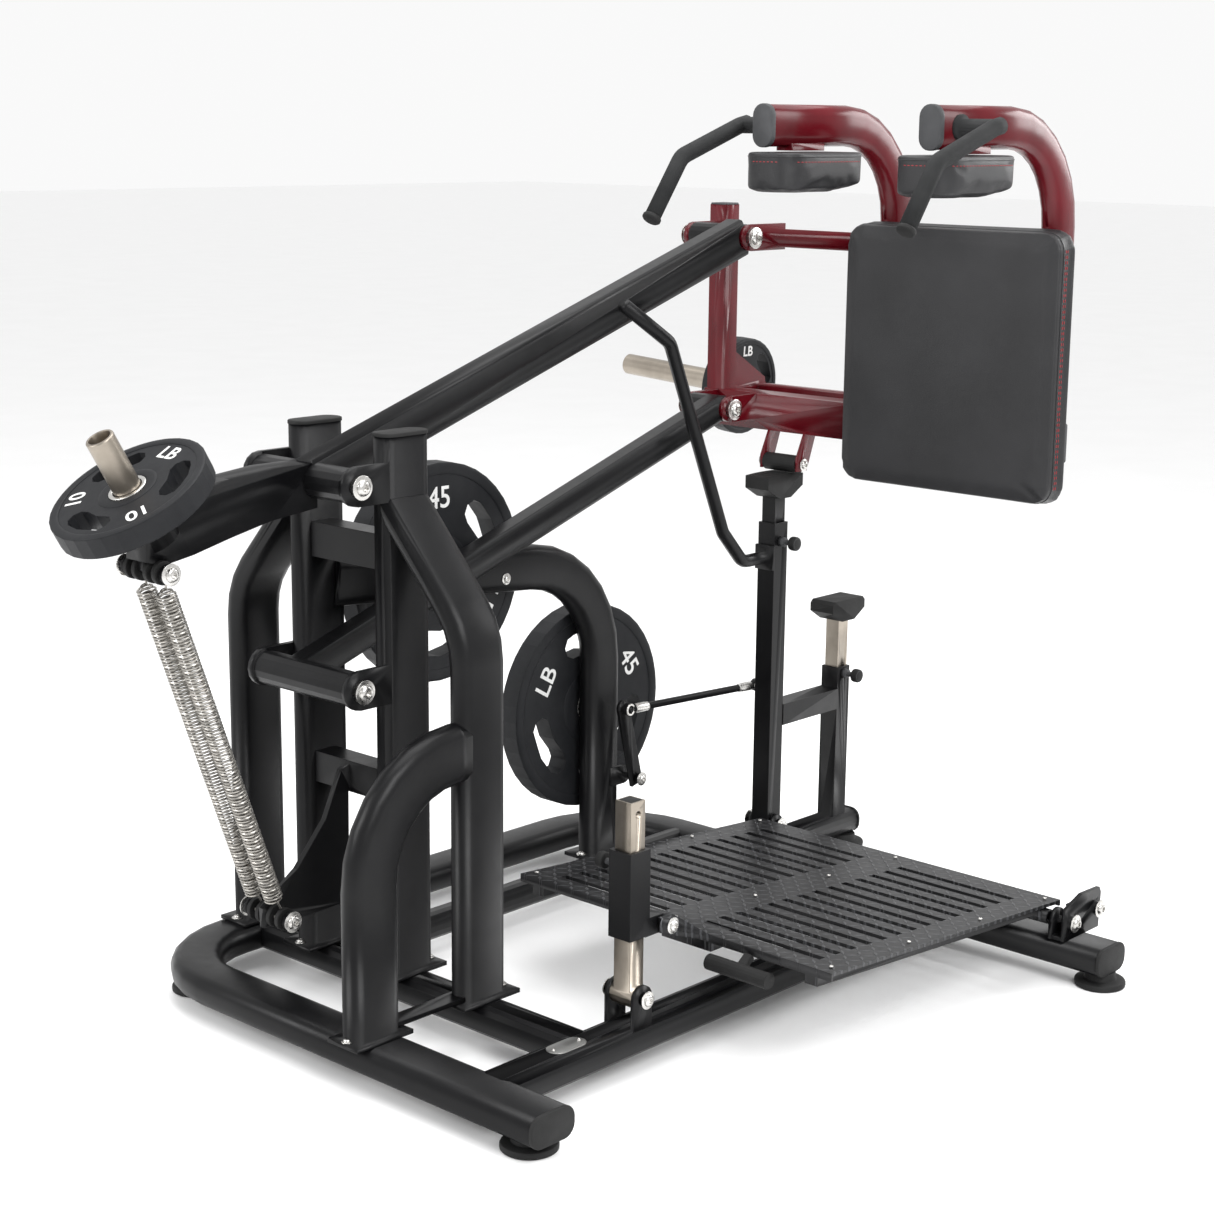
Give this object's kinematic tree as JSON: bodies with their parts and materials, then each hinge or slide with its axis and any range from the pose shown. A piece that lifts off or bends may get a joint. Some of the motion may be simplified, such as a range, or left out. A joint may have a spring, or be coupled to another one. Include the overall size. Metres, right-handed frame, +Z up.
{
  "type": "hack squat machine",
  "caption": "Plate-loaded hack squat machine with a lever-arm carriage, counterweight, swinging lock post, stop post and tilting foot plate.",
  "frame": {"origin": "centre of the footprint on the floor", "axes": "+X from the counterweight end to the user's end, +Y to the far side with the stored discs, +Z up"},
  "size_m": [2.0778, 1.5658, 1.69],
  "materials": {
    "black_paint": "satin powder coat",
    "burgundy_paint": "deep gloss",
    "bright_steel": "brushed",
    "vinyl": "grained vinyl with red stitching",
    "disc_rubber": "moulded rubber",
    "black_rubber": "matt",
    "black_plastic": "moulded"
  },
  "bodies": {
    "frame": {"base_loop_rail": "black_paint", "cross_and_middle_rail": "black_paint", "far_outer_brace": "black_paint", "far_upright": "black_paint", "foot_front_far": "black_rubber", "foot_front_near": "black_rubber", "foot_post": "black_rubber", "foot_rear_far": "black_rubber", "foot_rear_near": "black_rubber", "hinge_bracket": "black_paint", "lower_crossbar": "black_paint", "lower_pivot_bolt": "bright_steel", "near_outer_brace": "black_paint", "near_rear_brace": "black_paint", "near_side_rail": "black_paint", "near_upright": "black_paint", "overhead_brace": "black_paint", "post_rail": "black_paint", "upper_crossbar": "black_paint", "upper_pivot_bolt": "bright_steel"},
    "upper_arm": {"upper_arm": "black_paint", "counter_arm": "black_paint", "counter_horn": "bright_steel", "near_spring": "bright_steel", "far_spring": "bright_steel"},
    "lower_arm": {"lower_arm": "black_paint"},
    "carriage": {"carriage_frame": "burgundy_paint", "carriage_upper_bolt": "bright_steel", "carriage_lower_bolt": "bright_steel", "back_pad": "vinyl", "near_shoulder_tube": "burgundy_paint", "far_shoulder_tube": "burgundy_paint", "near_shoulder_pad": "vinyl", "far_shoulder_pad": "vinyl", "near_grip": "black_rubber", "far_grip": "black_rubber", "load_horn": "bright_steel"},
    "roller": {"rest_roller": "black_rubber"},
    "counter_disc": {"counter_plate": "disc_rubber"},
    "load_disc": {"load_plate": "disc_rubber"},
    "stored_upper": {"upper_disc": "disc_rubber"},
    "stored_lower": {"lower_disc": "disc_rubber"},
    "lock": {"lock_post": "black_paint", "lock_handle": "black_paint"},
    "lock_inner": {"lock_slider": "bright_steel", "lock_pad": "black_rubber"},
    "lock_pull": {"lock_pin": "black_plastic"},
    "stop_inner": {"stop_slider": "bright_steel", "stop_pad": "black_rubber"},
    "stop_pull": {"stop_pin": "black_plastic"},
    "plate": {"foot_plate": "black_paint", "plate_handle": "black_rubber"},
    "strut": {"strut_tube": "bright_steel"},
    "sleeve": {"strut_sleeve": "black_paint"},
    "strut_pull": {"strut_pin": "black_plastic"},
    "lever": {"lever_plate": "black_paint"},
    "link": {"link_rod": "bright_steel"}
  },
  "joints": [
    {"name": "arm_swing", "type": "hinge", "parent": "frame", "child": "upper_arm", "pos_m": [-0.52814, 0.26012, 1.023], "axis": [0, 1, 0], "range_deg": [-6, 20], "deforming": ["near_spring", "far_spring", "lock_pad"]},
    {"name": "lower_arm_swing", "type": "hinge", "parent": "frame", "child": "lower_arm", "pos_m": [-0.52814, 0.26012, 0.653], "axis": [0, 1, 0], "range_deg": [-6, 20]},
    {"name": "carriage_level", "type": "hinge", "parent": "upper_arm", "child": "carriage", "pos_m": [0.66086, 0.29512, 1.415], "axis": [0, 1, 0], "range_deg": [-20, 6]},
    {"name": "roller_spin", "type": "hinge", "parent": "carriage", "child": "roller", "pos_m": [0.73786, 0.17112, 0.93], "axis": [0, 1, 0], "continuous": true},
    {"name": "counter_disc_off", "type": "slide", "parent": "upper_arm", "child": "counter_disc", "axis": [-0.5, 0, 0.866], "range_m": [0, 0.16]},
    {"name": "load_disc_off", "type": "slide", "parent": "carriage", "child": "load_disc", "axis": [0, 0.998, 0.0639], "range_m": [0, 0.36]},
    {"name": "upper_disc_off", "type": "slide", "parent": "frame", "child": "stored_upper", "axis": [0, 1, 0], "range_m": [0, 0.15]},
    {"name": "lower_disc_off", "type": "slide", "parent": "frame", "child": "stored_lower", "axis": [0, 1, 0], "range_m": [0, 0.15]},
    {"name": "lock_swing", "type": "hinge", "parent": "frame", "child": "lock", "pos_m": [0.70786, 0.17112, 0.118], "axis": [0, -1, 0], "range_deg": [0, 14]},
    {"name": "lock_height", "type": "slide", "parent": "lock", "child": "lock_inner", "axis": [0, 0, -1], "range_m": [0, 0.04]},
    {"name": "lock_pin_pull", "type": "slide", "parent": "lock", "child": "lock_pull", "axis": [0, -1, 0], "range_m": [0, 0.012], "stiffness_N_per_m": 400},
    {"name": "stop_height", "type": "slide", "parent": "frame", "child": "stop_inner", "axis": [0, 0, -1], "range_m": [-0.1, 0.04]},
    {"name": "stop_pin_pull", "type": "slide", "parent": "frame", "child": "stop_pull", "axis": [0, -1, 0], "range_m": [0, 0.012], "stiffness_N_per_m": 400},
    {"name": "plate_tilt", "type": "hinge", "parent": "frame", "child": "plate", "pos_m": [0.60786, -0.25288, 0.122], "axis": [0, 1, 0], "range_deg": [-4.5, 5.5]},
    {"name": "strut_swing", "type": "hinge", "parent": "frame", "child": "strut", "pos_m": [-0.29914, -0.32488, 0.137], "axis": [0, 1, 0], "range_deg": [-4.8, 5.8]},
    {"name": "sleeve_slide", "type": "slide", "parent": "strut", "child": "sleeve", "axis": [0, 0, 1], "range_m": [-0.0715, 0.0875]},
    {"name": "strut_pin_pull", "type": "slide", "parent": "sleeve", "child": "strut_pull", "axis": [0, 1, 0], "range_m": [0, 0.012], "stiffness_N_per_m": 400},
    {"name": "lever_swing", "type": "hinge", "parent": "frame", "child": "lever", "pos_m": [0.40386, 0.29512, 0.26], "axis": [0, -1, 0], "range_deg": [0, 28.1]},
    {"name": "link_swing", "type": "hinge", "parent": "lock", "child": "link", "pos_m": [0.70886, 0.21212, 0.428], "axis": [0, -1, 0], "range_deg": [-9.3, 0]}
  ],
  "couplings": [
    {"joint": "lower_arm_swing", "follows": "arm_swing", "ratio": 1},
    {"joint": "carriage_level", "follows": "arm_swing", "ratio": -1},
    {"joint": "strut_swing", "follows": "plate_tilt", "ratio": 1.047},
    {"joint": "sleeve_slide", "follows": "plate_tilt", "m_per_rad": 0.9077},
    {"joint": "lever_swing", "follows": "lock_swing", "ratio": 2},
    {"joint": "link_swing", "follows": "lock_swing", "ratio": -0.66}
  ]
}
